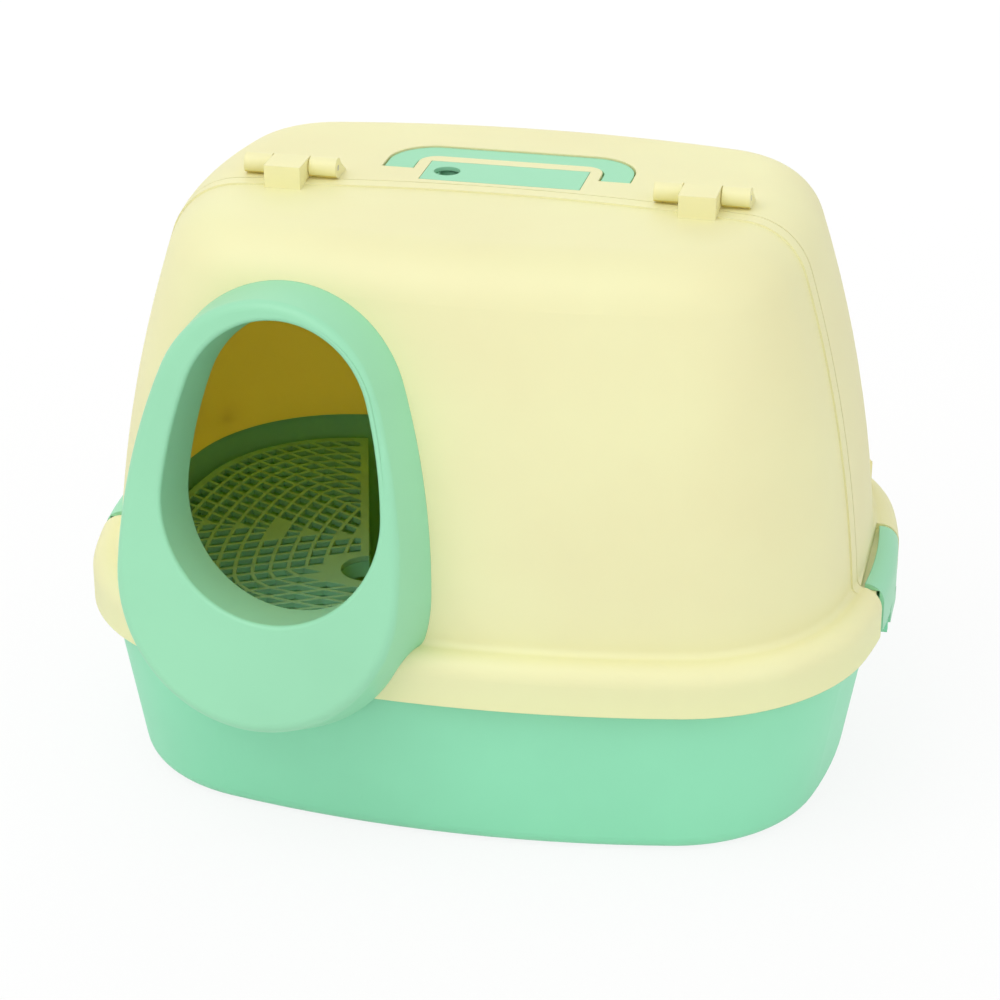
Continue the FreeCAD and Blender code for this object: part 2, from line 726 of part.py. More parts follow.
def hinge_bore(name):
    """Make the bore along the whole hinge line."""
    length = f"2 * ({HINGE_X} + knuckle_width + overrun + hinge_side_gap) + block_width"
    return rod(name, "hinge_pin_radius + pin_clearance", length, ("0", HINGE_Y, HINGE_Z), "X")


def draw_bail(sketch, front, grow):
    """Draw the handle's U from above, its sides moved outwards by an amount."""
    outer, inner = f"(handle_half_span + ({grow}))", f"(handle_half_span - handle_bar - ({grow}))"
    back, throat = f"(handle_back + ({grow}))", f"(handle_back - handle_bar - ({grow}))"
    outside, inside = f"handle_outer_round + ({grow})", f"handle_inner_round - ({grow})"
    draw_rounded(sketch, [
        (f"-{outer}", front, None),
        (f"-{inner}", front, None),
        (f"-{inner}", throat, inside),
        (inner, throat, inside),
        (inner, front, None),
        (outer, front, None),
        (outer, back, outside),
        (f"-{outer}", back, outside),
    ])


def make_recess():
    """Make the tool for the handle's recess in the hood's top."""
    body = new_body("handle_recess")
    depth = "handle_drop + handle_thickness + handle_clearance"
    floor = new_sketch(body, "recess_floor", offset=f"hood_top - ({depth})")
    draw_bail(floor, "handle_front - handle_clearance", "handle_clearance")
    extrude(body, "Pad", floor, f"{depth} + overrun")
    return body


def make_tabs():
    """Make the two upright tabs on the rear corners of the rim."""
    parts = []
    _, _, corner = oval_centres()
    for side, sign in SIDES:
        made = doc.addObject("Part::Box", f"tab_{side}")
        bind(made, Length="tab_thickness", Width="tab_width", Height="tab_root + tab_height")
        bearing = value("tab_bearing") if sign == "1" else value("180 - tab_bearing")
        turn = Rotation(Vector(0, 0, 1), bearing)
        outward = value("corner_radius - tab_inset - tab_thickness / 2")
        reach = turn.multVec(Vector(outward, value("-tab_width / 2"), 0))
        middle = Vector(value(sign) * corner[0], corner[1], value("rim_top - tab_root"))
        made.Placement = FreeCAD.Placement(middle + reach, turn)
        parts.append(made)
    return parts


def make_notches():
    """Make the tools for the latch notches in the rear half's rim."""
    parts = []
    y = ("-latch_length / 2 - latch_notch_front", "latch_length / 2 + latch_notch_side")
    high = "rim_top + rim_root_round + overrun"
    cuts = (("arm", "ledge_inset", "rim_bottom - overrun"), ("lip", "ledge_back", LEDGE_TOP))
    for side, sign in SIDES:
        for name, inset, low in cuts:
            near, far = f"{sign} * (half_length - {inset})", f"{sign} * (half_length + overrun)"
            x = (near, far) if sign == "1" else (far, near)
            parts.append(box(f"notch_{side}_{name}", x, y, (low, high)))
    return parts


def make_hood(collar_bore):
    """Make the rear and the front half of the hood, and return them with the form that shapes the collar."""
    full = make_dome("hood_full", "0", rimmed=True)
    low = make_dome("hood_low", "band_step", rimmed=True)
    cavity = make_dome("hood_cavity", "hood_wall", rimmed=False)
    channel = oval_prism("rim_channel", "rim_wall", "rim_bottom - overrun", RIM_CEILING)
    deck = box(
        "hood_deck",
        ("-deck_half_length", "deck_half_length"),
        ("-deck_front", "deck_back"),
        ("hood_top - deck_depth", "hood_top - hood_wall / 2"),
    )
    seat_x, seat_y = lid_bounds("-lid_gap")
    rim_x, rim_y = lid_bounds("lid_ledge - lid_gap")
    well_x, well_y = lid_bounds("lid_ledge + cassette_ledge - lid_gap")
    above = "hood_top + overrun"
    pin_hole = "handle_pin_radius + pin_clearance"
    pin_length = "handle_bar + 2 * handle_clearance + 2 * handle_pin_hold"
    pin_holes = []
    for side, sign in SIDES:
        centre = (f"{sign} * {LEG_MIDDLE}", HANDLE_Y, HANDLE_Z)
        pin_holes.append(rod(f"handle_pin_hole_{side}", pin_hole, pin_length, centre, "X"))
    seam_rear = seam_cylinder("seam_rear", "seam_gap / 2")
    rear_shell = cut("rear_shell", full, [seam_rear, cavity, channel] + make_notches())
    rear_solid = fuse("rear_solid", [rear_shell, deck] + make_knuckles() + make_tabs())
    rear = cut("rear_hood", rear_solid, [
        make_recess(),
        box("lid_seat", seat_x, seat_y, (LID_SEAT, above)),
        box("cassette_seat", rim_x, rim_y, (CASSETTE_SEAT, above)),
        box("cassette_well", well_x, well_y, ("hood_top - deck_depth - overrun", above)),
        hinge_bore("hinge_bore_rear"),
    ] + pin_holes)
    seam_front = seam_cylinder("seam_front", "-seam_gap / 2")
    panel = common("front_panel", low, seam_front)
    ring = cut("band_ring", seam_front, [seam_cylinder("band_inner", "-seam_gap / 2 - band_width")])
    band = common("front_band", full, ring)
    front_shell = cut("front_shell", fuse("front_form", [panel, band]), [cavity, channel, collar_bore])
    front_solid = fuse("front_solid", [front_shell] + make_blocks())
    front = cut("front_hood", front_solid, [hinge_bore("hinge_bore_front")])
    return rear, front, low


# Entrance collar


def collar_placement():
    """Return the collar's own frame: X across, Y up the hood's wall and Z out of it."""
    yaw = Rotation(Vector(0, 0, 1), value("collar_yaw"))
    tilt = Rotation(Vector(1, 0, 0), value("90 - collar_tilt"))
    x, y = value("collar_end_distance - half_length"), value("collar_inset - half_width")
    return FreeCAD.Placement(Vector(x, y, value("collar_z")), yaw.multiply(tilt))


def collar_prism(name, grow):
    """Make an egg prism through the entrance, larger than the opening by an amount."""
    body = new_body(name)
    sketch = new_sketch(body, f"{name}_outline")
    draw_opening(sketch, grow)
    extrude(body, "Pad", sketch, "4 * collar_reach", symmetric=True)
    body.Placement = collar_placement()
    return body


def draw_opening(sketch, grow):
    """Draw the entrance's egg, moved outwards by an amount."""
    names = ("opening_low_radius", "opening_high_radius", "opening_side_radius")
    radii = [f"{name} + ({grow})" for name in names]
    draw_egg(sketch, "opening_shift", "opening_low", radii[0], "opening_high", radii[1], radii[2])


def make_collar(hood_form):
    """Make the flared ring, fitted to the hood's wall and rim, with its sleeve through the wall."""
    body = new_body("collar_flare")
    radii = ("collar_low_radius", "collar_high_radius", "collar_side_radius")
    path = new_sketch(body, "flare_path", offset="-collar_root")
    draw_egg(path, "0", "collar_low", radii[0], "collar_high", radii[1], radii[2])
    section = new_sketch(body, "flare_section", "YZ_Plane")
    top = "collar_high + collar_high_radius"
    draw_rounded(section, [
        (f"{top} - collar_core_inset", "-collar_root", None),
        (top, "-collar_root", None),
        (f"{top} - collar_lean", "collar_reach", "collar_outer_round"),
        (f"{top} - collar_core_inset", "collar_reach", None),
    ])
    sweep(body, section, path)
    core = new_sketch(body, "flare_core", offset="-collar_root")
    core_radii = [f"{name} - collar_core_inset + overrun" for name in radii]
    draw_egg(core, "0", "collar_low", core_radii[0], "collar_high", core_radii[1], core_radii[2])
    extrude(body, "Pad", core, "collar_root + collar_reach")
    opening = new_sketch(body, "flare_opening", offset="collar_reach")
    draw_opening(opening, "sleeve_wall - sleeve_land / 2")
    extrude(body, "Pocket", opening, "collar_root + collar_reach + overrun")
    body.Placement = collar_placement()
    apron = oval_prism("apron_back", "0", "0", "rim_bottom + overrun")
    flare = cut("collar_ring", body, [hood_form, apron])
    sleeve = new_body("collar_sleeve")
    loop = new_sketch(sleeve, "sleeve_path", offset="-sleeve_depth")
    draw_opening(loop, "0")
    wall = new_sketch(sleeve, "sleeve_section", "YZ_Plane", "opening_shift")
    brink = "(opening_high + opening_high_radius)"
    draw_rounded(wall, [
        (brink, "-sleeve_depth", None),
        (f"{brink} + sleeve_wall", "-sleeve_depth", None),
        (f"{brink} + sleeve_wall", "collar_reach", None),
        (brink, "collar_reach", "sleeve_wall - sleeve_land"),
    ])
    sweep(sleeve, wall, loop)
    sleeve.Placement = collar_placement()
    inside = make_dome("sleeve_trim", "hood_wall + sleeve_lip", rimmed=False)
    return fuse("entrance_collar", [flare, cut("collar_sleeve_end", sleeve, [inside])])


# Handle and filter


def make_handle():
    """Make the U-shaped carry handle, lying flat, with a round foot on each leg."""
    body = new_body("carry_handle")
    bar = new_sketch(body, "handle_outline", offset=f"{HANDLE_Z} - handle_thickness / 2")
    draw_bail(bar, HANDLE_Y, "0")
    extrude(body, "Pad", bar, "handle_thickness")
    for kind, radius in (("Pad", "handle_thickness / 2"), ("Pocket", "handle_pin_radius + pin_clearance")):
        for side, sign in SIDES:
            foot = new_sketch(body, f"handle_{kind}_{side}", "YZ_Plane", f"{sign} * {LEG_MIDDLE}")
            draw_circle(foot, HANDLE_Y, HANDLE_Z, radius)
            extra = "0" if kind == "Pad" else "overrun"
            extrude(body, kind, foot, f"handle_bar + {extra}", symmetric=True)
    return body


def make_lid():
    """Make the filter lid with its finger hole."""
    body = new_body("filter_lid")
    plate = new_sketch(body, "lid_plate", offset="hood_top - lid_thickness")
    draw_rectangle(plate, *lid_bounds("0"))
    extrude(body, "Pad", plate, "lid_thickness")
    hole = new_sketch(body, "lid_hole", offset="hood_top")
    draw_circle(hole, "-finger_hole_offset", LID_MIDDLE, "finger_hole_radius")
    extrude(body, "Pocket", hole, "lid_thickness + overrun")
    return body


def make_cassette():
    """Make the slotted tub that hangs under the lid."""
    body = new_body("filter_cassette")
    flange_low = f"{CASSETTE_SEAT} + lid_rest / 2"
    flange_top = f"({flange_low} + cassette_flange)"
    edge = "lid_ledge + lid_gap"
    tub_edge = "lid_ledge + cassette_ledge + lid_gap"
    tub = new_sketch(body, "tub_outline", offset=f"{flange_top} - cassette_depth")
    draw_rectangle(tub, *lid_bounds(tub_edge))
    extrude(body, "Pad", tub, "cassette_depth")
    flange = new_sketch(body, "flange_outline", offset=flange_low)
    draw_rectangle(flange, *lid_bounds(edge))
    extrude(body, "Pad", flange, "cassette_flange")
    hollow = new_sketch(body, "tub_hollow", offset=flange_top)
    draw_rectangle(hollow, *lid_bounds(f"{tub_edge} + cassette_wall"))
    extrude(body, "Pocket", hollow, "cassette_depth - cassette_wall")
    slot = new_sketch(body, "tub_slot", offset=f"{flange_top} - cassette_depth + cassette_wall")
    start = "(-cassette_slot_pitch * (cassette_slot_count - 1) / 2)"
    inset = f"{tub_edge} + 2 * cassette_wall"
    _, slot_y = lid_bounds(inset)
    draw_rectangle(slot, (f"{start} - cassette_slot / 2", f"{start} + cassette_slot / 2"), slot_y)
    first = extrude(body, "Pocket", slot, "cassette_wall + overrun")
    row = body.newObject("PartDesign::LinearPattern", "tub_slots")
    row.Originals = [first]
    row.Direction = (next(item for item in body.Origin.OriginFeatures if item.Role == "X_Axis"), [""])
    bind(row, Length="cassette_slot_pitch * (cassette_slot_count - 1)", Occurrences="cassette_slot_count")
    body.Tip = row
    pad = new_body("charcoal_pad")
    block = new_sketch(pad, "pad_outline", offset=f"{flange_top} - cassette_depth + cassette_wall")
    draw_rectangle(block, *lid_bounds(f"{tub_edge} + cassette_wall + pad_gap"))
    extrude(pad, "Pad", block, "pad_height")
    return body, pad


# Latches


def make_latch(side, sign):
    """Make one latch: a curved plate with a lip over the rim's ledge and a barrel on the tray's lugs."""
    body = new_body(f"latch_{side}")
    outer, inner = "(end_radius - latch_flush)", "(end_radius - latch_flush - latch_plate)"
    lip = "(end_radius - latch_lip_inset)"
    underside = f"({LEDGE_TOP} + latch_gap)"
    section = new_sketch(body, f"latch_{side}_section", "XZ_Plane")
    draw_rounded(section, [
        (inner, "rim_bottom", None),
        (outer, "rim_bottom", None),
        (outer, "rim_top", "rim_shoulder - latch_flush"),
        (lip, "rim_top", None),
        (lip, underside, None),
        (inner, underside, None),
    ])
    plate = body.newObject("PartDesign::Revolution", f"latch_{side}_plate")
    plate.Profile = section
    plate.ReferenceAxis = (next(item for item in body.Origin.OriginFeatures if item.Role == "Z_Axis"), [""])
    bind(plate, Angle="latch_length / end_radius * 180 / pi")
    plate.Midplane = True
    doc.recompute()
    pivot = ("(end_radius - latch_pivot_inset)", "latch_pivot_height")
    tongue = new_sketch(body, f"latch_{side}_tongue", "XZ_Plane")
    draw_rectangle(tongue, (inner, outer), ("latch_pivot_height", "rim_bottom + overrun"))
    extrude(body, "Pad", tongue, "latch_tongue", symmetric=True)
    barrel = new_sketch(body, f"latch_{side}_barrel", "XZ_Plane")
    draw_circle(barrel, *pivot, "latch_barrel_radius")
    extrude(body, "Pad", barrel, "latch_tongue", symmetric=True)
    bore = new_sketch(body, f"latch_{side}_bore", "XZ_Plane")
    draw_circle(bore, *pivot, "latch_pin_radius + pin_clearance")
    extrude(body, "Pocket", bore, "latch_tongue + 2 * overrun", symmetric=True)
    body.Placement = FreeCAD.Placement(Vector(), Rotation(Vector(0, 0, 1), 0 if sign == "1" else 180))
    place(body, f"{sign} * (half_length - end_radius)")
    return body


# Step


def step_plate(name, inset, edge, low, high):
    """Make a plate of the step's outline, inset from the rim and short of the slanting edge."""
    prism = oval_prism(f"{name}_oval", inset, low, high)
    side = turned_box(f"{name}_side", "half_length", "4 * half_width", (low, high))
    plate = common(f"{name}_plate", prism, side)
    if edge == "0":
        return plate
    strip = turned_box(f"{name}_strip", edge, "4 * half_width", (f"({low}) - overrun", f"({high}) + overrun"))
    return cut(f"{name}_short", plate, [strip])


def notch_centre():
    """Return the expressions of the finger notch's centre on the slanting edge."""
    return "step_edge_x - notch_offset * sin(step_edge_turn)", "notch_offset * cos(step_edge_turn)"


def notch_rod(name, radius, low, high):
    """Make an upright cylinder at the finger notch."""
    x, y = notch_centre()
    return rod(name, radius, f"({high}) - ({low})", (x, y, f"(({low}) + ({high})) / 2"), "Z")


def make_pan():
    """Make the shallow pan under the grid, with its skirt on the litter side and a finger notch."""
    outside = step_plate("pan_outer", "step_inset", "0", "pan_bottom", PAN_TOP)
    brim = f"{PAN_TOP} + overrun"
    hollow = step_plate("pan_inner", "step_inset + pan_wall", "pan_wall", "pan_bottom + pan_floor", brim)
    shell = cut("pan_shell", outside, [hollow])
    around = notch_rod("pan_notch_outer", "notch_radius + pan_wall", "pan_bottom", PAN_TOP)
    post = common("pan_notch_wall", outside, around)
    skirt_z = ("tray_floor + skirt_gap", "pan_bottom + pan_floor")
    skirt = turned_box("pan_skirt", "pan_wall", "skirt_span", skirt_z)
    solid = fuse("pan_solid", [shell, post, skirt])
    tool = notch_rod("pan_notch", "notch_radius", "pan_bottom - overrun", brim)
    return cut("sieve_pan", solid, [tool])


def depth_meter():
    """Return a function that tells how far inside the rim's outline a point lies."""
    end, side, corner = oval_centres()
    low, high = oval_joints()
    end_r, side_r, corner_r = (value(name) for name in ("end_radius", "side_radius", "corner_radius"))

    def depth(point):
        x, y = abs(point.x), abs(point.y)
        if math.atan2(y - end[1], x - end[0]) < low:
            return end_r - math.hypot(x - end[0], y - end[1])
        if math.atan2(y - side[1], x - side[0]) > high:
            return side_r - math.hypot(x - side[0], y - side[1])
        return corner_r - math.hypot(x - corner[0], y - corner[1])

    return depth


def entry_point(depth, wanted, origin, along, reach, stride):
    """Return the point where a line first reaches a wanted depth inside the outline, if it does."""
    near = -reach
    while depth(origin + along * near) < wanted:
        near += stride
        if near > reach:
            return None
    far = near - stride
    for _ in range(HALVINGS):
        middle = (far + near) / 2
        if depth(origin + along * middle) < wanted:
            far = middle
        else:
            near = middle
    return origin + along * near


def clipped(points, edge, normal):
    """Keep the part of a polygon on the side of an edge that its normal points to."""
    kept = []
    for here, following in zip(points, points[1:] + points[:1]):
        a, b = (here - edge).dot(normal), (following - edge).dot(normal)
        if a >= 0:
            kept.append(here)
        if a * b < 0:
            kept.append(here + (following - here) * (a / (a - b)))
    return kept


def grid_gaps(height):
    """Return the outlines of the gaps between the ribs that follow the rim and the straight ones across them.

    The straight ribs meet in the middle, so that they cross the others steeply in the front and the back.
    """
    pitch, half_rib, border = value("grid_pitch"), value("grid_rib / 2"), value("grid_border")
    smallest, notch_reach = value("grid_smallest_gap"), value("notch_radius + grid_border")
    notch = Vector(value(notch_centre()[0]), value(notch_centre()[1]), height)
    turn = Rotation(Vector(0, 0, 1), value("step_edge_turn"))
    normal = turn.multVec(Vector(-1, 0, 0))
    edge = Vector(value("step_edge_x"), 0, 0) + normal * border
    lie = Rotation(Vector(0, 0, 1), value("grid_bearing"))
    along, across = lie.multVec(Vector(1, 0, 0)), lie.multVec(Vector(0, 1, 0))
    depth, reach, first = depth_meter(), value("half_length + half_width"), value("step_inset + grid_border")
    rows = math.ceil(reach / pitch)
    outlines = []
    for ring in range(math.ceil(value("half_width") / pitch)):
        outer, inner = first + ring * pitch, first + (ring + 1) * pitch - 2 * half_rib
        for row, mirror in itertools.product(range(-rows, rows), (1, -1)):
            low, high = row * pitch + half_rib, (row + 1) * pitch - half_rib
            corners = [
                entry_point(depth, wanted, across * offset, along, reach, pitch)
                for wanted, offset in ((outer, low), (inner, low), (inner, high), (outer, high))
            ]
            if None in corners:
                continue
            front = clipped(corners, Vector(0, -half_rib, 0), Vector(0, -1, 0))
            gap = clipped([Vector(point.x, mirror * point.y, height) for point in front], edge, normal)
            if len(gap) < 3 or min((point - notch).Length for point in gap) < notch_reach:
                continue
            sides = [(end - start).Length for start, end in zip(gap, gap[1:] + gap[:1])]
            wire = Part.makePolygon(gap + gap[:1])
            mean_width = 2 * Part.Face(wire).Area / sum(sides)
            if min(sides) > GAP_SIDE_SHARE * smallest and mean_width > smallest / 2:
                outlines.append(wire)
    return outlines


def make_grid():
    """Make the sieve grid: one plate with the gaps between its ribs."""
    low = GRID_BOTTOM
    blank = cut("grid_blank", step_plate("grid", "step_inset", "0", low, f"{low} + grid_thickness"), [
        notch_rod("grid_notch", "notch_radius", f"{low} - overrun", f"{low} + grid_thickness + overrun")
    ])
    doc.recompute()
    height = value(low)
    under = next(f for f in blank.Shape.Faces if f.BoundBox.ZLength < 1e-6 and close_to(f.BoundBox.ZMin, low))
    gaps = grid_gaps(height)
    print("gaps in the grid:", len(gaps))
    face = Part.makeFace([under.OuterWire] + gaps, "Part::FaceMakerBullseye")
    made = doc.addObject("Part::Feature", "sieve_grid")
    made.Shape = face.extrude(Vector(0, 0, value("grid_thickness")))
    return made


# Pins


def make_pins():
    """Make the hinge, handle and latch pins."""
    pins = {}
    hinge_length = "block_width + 2 * knuckle_width + 2 * hinge_side_gap"
    handle_length = "handle_bar + 2 * handle_clearance + 2 * handle_pin_hold"
    latch_length = "latch_tongue + 2 * hinge_side_gap + 2 * lug_thickness"
    for side, sign in SIDES:
        at_hinge = (f"{sign} * {HINGE_X}", HINGE_Y, HINGE_Z)
        at_handle = (f"{sign} * {LEG_MIDDLE}", HANDLE_Y, HANDLE_Z)
        at_latch = (f"{sign} * (half_length - latch_pivot_inset)", "0", "latch_pivot_height")
        for kind, length, centre, axis in (
            ("hinge", hinge_length, at_hinge, "X"),
            ("handle", handle_length, at_handle, "X"),
            ("latch", latch_length, at_latch, "Y"),
        ):
            name = f"{kind}_pin_{side}"
            pins[name] = rod(name, f"{kind}_pin_radius", length, centre, axis)
    return pins


def check(pieces):
    """Stop if any object of the document failed or any piece is not one valid solid."""
    for item in doc.Objects:
        if "Invalid" in item.State or "Error" in item.State:
            raise RuntimeError(f"{item.Name} failed: {item.State}")
    for name, piece in pieces.items():
        shape = piece.Shape
        if shape.isNull() or not shape.isValid() or len(shape.Solids) != 1:
            raise RuntimeError(f"{name} is not one valid solid: {len(shape.Solids)}")


def main():
    """Build the document and write each piece to its file."""
    fill_sheet()
    pieces = {"base_tray": make_tray()}
    bore = collar_prism("collar_bore", "sleeve_wall + sleeve_gap")
    pieces["rear_hood"], pieces["front_hood"], hood_form = make_hood(bore)
    pieces["entrance_collar"] = make_collar(hood_form)
    pieces["carry_handle"] = make_handle()
    pieces["filter_lid"] = make_lid()
    pieces["filter_cassette"], pieces["charcoal_pad"] = make_cassette()
    for side, sign in SIDES:
        pieces[f"latch_{side}"] = make_latch(side, sign)
    pieces["sieve_pan"] = make_pan()
    pieces["sieve_grid"] = make_grid()
    pieces.update(make_pins())
    doc.recompute()
    for name, piece in pieces.items():
        piece.Label = name
    check(pieces)
    os.makedirs("parts", exist_ok=True)
    for name, piece in pieces.items():
        piece.Shape.exportStep(f"parts/{name}.step")
        print(f"{name}: {len(piece.Shape.Faces)} faces, {piece.Shape.Volume / MM3_PER_CM3:.1f} cm3")


if __name__ == "__main__":
    main()
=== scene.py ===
"""Dressed scene of a hooded litter box: cream hood, mint tray, collar, handle, lid, latches and step."""
from __future__ import annotations

import json
import logging
import math
from dataclasses import dataclass, field
from enum import Enum
from typing import Any, Iterable

import bmesh
import bpy
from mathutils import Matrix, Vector

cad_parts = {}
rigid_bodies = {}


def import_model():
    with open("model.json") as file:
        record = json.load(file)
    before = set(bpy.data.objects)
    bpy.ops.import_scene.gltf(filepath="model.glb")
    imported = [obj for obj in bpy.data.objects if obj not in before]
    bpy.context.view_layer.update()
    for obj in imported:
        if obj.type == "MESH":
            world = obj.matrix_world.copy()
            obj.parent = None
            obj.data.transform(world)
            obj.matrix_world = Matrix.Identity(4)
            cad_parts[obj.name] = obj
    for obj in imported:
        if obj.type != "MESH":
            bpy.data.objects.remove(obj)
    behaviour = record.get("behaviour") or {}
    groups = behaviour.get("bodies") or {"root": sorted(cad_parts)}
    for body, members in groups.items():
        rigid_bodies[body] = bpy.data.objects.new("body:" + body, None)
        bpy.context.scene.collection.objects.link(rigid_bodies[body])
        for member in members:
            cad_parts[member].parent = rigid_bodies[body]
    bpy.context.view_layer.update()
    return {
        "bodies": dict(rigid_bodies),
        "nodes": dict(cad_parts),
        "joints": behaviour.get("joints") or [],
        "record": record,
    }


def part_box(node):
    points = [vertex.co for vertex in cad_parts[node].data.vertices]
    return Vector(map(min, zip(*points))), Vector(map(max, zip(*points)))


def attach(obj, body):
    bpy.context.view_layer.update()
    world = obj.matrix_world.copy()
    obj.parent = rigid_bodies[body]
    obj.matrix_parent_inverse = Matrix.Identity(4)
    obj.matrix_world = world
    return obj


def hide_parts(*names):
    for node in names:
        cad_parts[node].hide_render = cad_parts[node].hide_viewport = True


log = logging.getLogger("litter_box")

ENDS = ("left", "right")

Colour = tuple[float, float, float, float]
Place = tuple[float, float, float]

WHITE: Colour = (1.0, 1.0, 1.0, 1.0)
EVEN: Place = (1.0, 1.0, 1.0)

# Screen curve: full channel, end of its straight part, slope there, and the offset and power beyond
SCREEN_FULL = 255
SCREEN_KNEE = 0.04045
SCREEN_SLOPE = 12.92
SCREEN_OFFSET = 0.055
SCREEN_POWER = 2.4


class MathOp(Enum):
    """Operations of a Math node that the finishes use."""

    ADD = "ADD"
    SUBTRACT = "SUBTRACT"
    MULTIPLY = "MULTIPLY"
    LESS_THAN = "LESS_THAN"


class Body(Enum):
    """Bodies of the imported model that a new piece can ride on."""

    BOX = "box"


def from_screen(red: int, green: int, blue: int) -> Colour:
    """Turn a screen colour into a linear one.

    Args:
        red: red, 0 to 255.
        green: green, 0 to 255.
        blue: blue, 0 to 255.

    Returns:
        The linear colour with full alpha.
    """
    linear = []
    for channel in (red, green, blue):
        share = channel / SCREEN_FULL
        curved = ((share + SCREEN_OFFSET) / (1 + SCREEN_OFFSET)) ** SCREEN_POWER
        linear.append(share / SCREEN_SLOPE if share <= SCREEN_KNEE else curved)
    return (linear[0], linear[1], linear[2], 1.0)


def brighter(colour: Colour, factor: float) -> Colour:
    """Return a colour times a factor, held at full."""
    red, green, blue = (min(1.0, channel * factor) for channel in colour[:3])
    return (red, green, blue, 1.0)


class Term:
    """A value socket that can be used in Python expressions."""

    def __init__(self, shader: "Shader", socket: bpy.types.NodeSocket) -> None:
        """Keep the shader and the socket."""
        self.shader = shader
        self.socket = socket

    def _math(self, operation: MathOp, first: Any, second: Any) -> "Term":
        """Add one Math node.

        Args:
            operation: what the node does.
            first: first term or number.
            second: second term or number.

        Returns:
            The node's result.
        """
        return self.shader.node("ShaderNodeMath", {"operation": operation.value}, {0: first, 1: second})

    def __add__(self, other: Any) -> "Term":
        """Add."""
        return self._math(MathOp.ADD, self, other)

    def __radd__(self, other: Any) -> "Term":
        """Add from the left."""
        return self._math(MathOp.ADD, other, self)

    def __sub__(self, other: Any) -> "Term":
        """Subtract."""
        return self._math(MathOp.SUBTRACT, self, other)

    def __rsub__(self, other: Any) -> "Term":
        """Subtract from the left."""
        return self._math(MathOp.SUBTRACT, other, self)

    def __mul__(self, other: Any) -> "Term":
        """Multiply."""
        return self._math(MathOp.MULTIPLY, self, other)

    def __rmul__(self, other: Any) -> "Term":
        """Multiply from the left."""
        return self._math(MathOp.MULTIPLY, other, self)

    def below(self, limit: float) -> "Term":
        """Return 1 where the value is under a limit, and 0 elsewhere."""
        return self._math(MathOp.LESS_THAN, self, limit)


class Shader:
    """One material's node tree, written as calls and expressions."""

    def __init__(self, name: str) -> None:
        """Make an empty material.

        Args:
            name: the material's name.
        """
        self.material = bpy.data.materials.new(name)
        self.material.use_nodes = True
        self.tree = self.material.node_tree
        self.tree.nodes.clear()

    def node(self, kind: str, settings: dict[str, Any], inputs: dict[Any, Any], output: Any = 0) -> Term:
        """Add a node.

        Args:
            kind: the node's type.
            settings: its own properties, set first.
            inputs: socket name or number to a value or a term.
            output: name or number of the output wanted.

        Returns:
            The wanted output.
        """
        made = self.tree.nodes.new(kind)
        for name, setting in settings.items():
            if name == "stops":
                self._set_stops(made, setting)
            else:
                setattr(made, name, setting)
        for name, given in inputs.items():
            if isinstance(given, Term):
                self.tree.links.new(given.socket, made.inputs[name])
            else:
                made.inputs[name].default_value = given
        return Term(self, made.outputs[output])

    @staticmethod
    def _set_stops(ramp: bpy.types.Node, stops: Iterable[tuple[float, Colour]]) -> None:
        """Set a colour ramp's stops.

        Args:
            ramp: the ramp node.
            stops: pairs of place and colour.
        """
        elements = ramp.color_ramp.elements
        wanted = list(stops)
        while len(elements) < len(wanted):
            elements.new(1.0)
        for element, (place, colour) in zip(elements, wanted):
            element.position = place
            element.color = colour

    def place(self) -> Term:
        """Return the Object coordinates."""
        return self.node("ShaderNodeTexCoord", {}, {}, "Object")

    def noise(self, scale: float, detail: float, stretch: Place = EVEN) -> Term:
        """Add a noise over the Object coordinates.

        Args:
            scale: waves to the metre.
            detail: octaves.
            stretch: scale along X, Y and Z.

        Returns:
            The noise value.
        """
        spot = self.node("ShaderNodeMapping", {}, {"Vector": self.place(), "Scale": stretch})
        return self.node("ShaderNodeTexNoise", {}, {"Vector": spot, "Scale": scale, "Detail": detail})

    def relief(self, height: Term, strength: float, depth: float, normal: Term | None = None) -> Term:
        """Add a bump.

        Args:
            height: the relief, 0 to 1.
            strength: how much of it shows.
            depth: its depth in metres.
            normal: the normal that it starts from, if not the surface's own.

        Returns:
            The new normal.
        """
        inputs: dict[str, Any] = {"Strength": strength, "Distance": depth, "Height": height}
        if normal is not None:
            inputs["Normal"] = normal
        return self.node("ShaderNodeBump", {}, inputs)

    def facing_in(self, middle: Place, limit: float) -> Term:
        """Return 1 on faces that look at a point inside the piece, whichever side a ray comes from.

        Args:
            middle: the point, in the piece's own frame.
            limit: cosine under which a face counts as looking at the point.

        Returns:
            The mask.
        """
        kind = "ShaderNodeVectorMath"
        away = self.node(kind, {"operation": "SUBTRACT"}, {0: self.place(), 1: middle})
        ray = self.node(kind, {"operation": "NORMALIZE"}, {0: away})
        normal = self.node("ShaderNodeTexCoord", {}, {}, "Normal")
        behind = self.node("ShaderNodeNewGeometry", {}, {}, "Backfacing")
        turn = self.node(kind, {"operation": "DOT_PRODUCT"}, {0: ray, 1: normal}, "Value")
        return (turn * (1 - 2 * behind)).below(limit)

    def ramp(self, factor: Term, stops: Iterable[tuple[float, Colour]]) -> Term:
        """Turn a value into a colour."""
        return self.node("ShaderNodeValToRGB", {"stops": stops}, {0: factor})

    def close(self, kind: str, inputs: dict[Any, Any]) -> bpy.types.Material:
        """Add the surface shader and the output.

        Args:
            kind: the surface shader's type.
            inputs: its sockets.

        Returns:
            The finished material.
        """
        self.node_output(self.node(kind, {}, inputs))
        return self.material

    def node_output(self, surface: Term) -> None:
        """Link a surface to the material's output."""
        output = self.tree.nodes.new("ShaderNodeOutputMaterial")
        self.tree.links.new(surface.socket, output.inputs["Surface"])


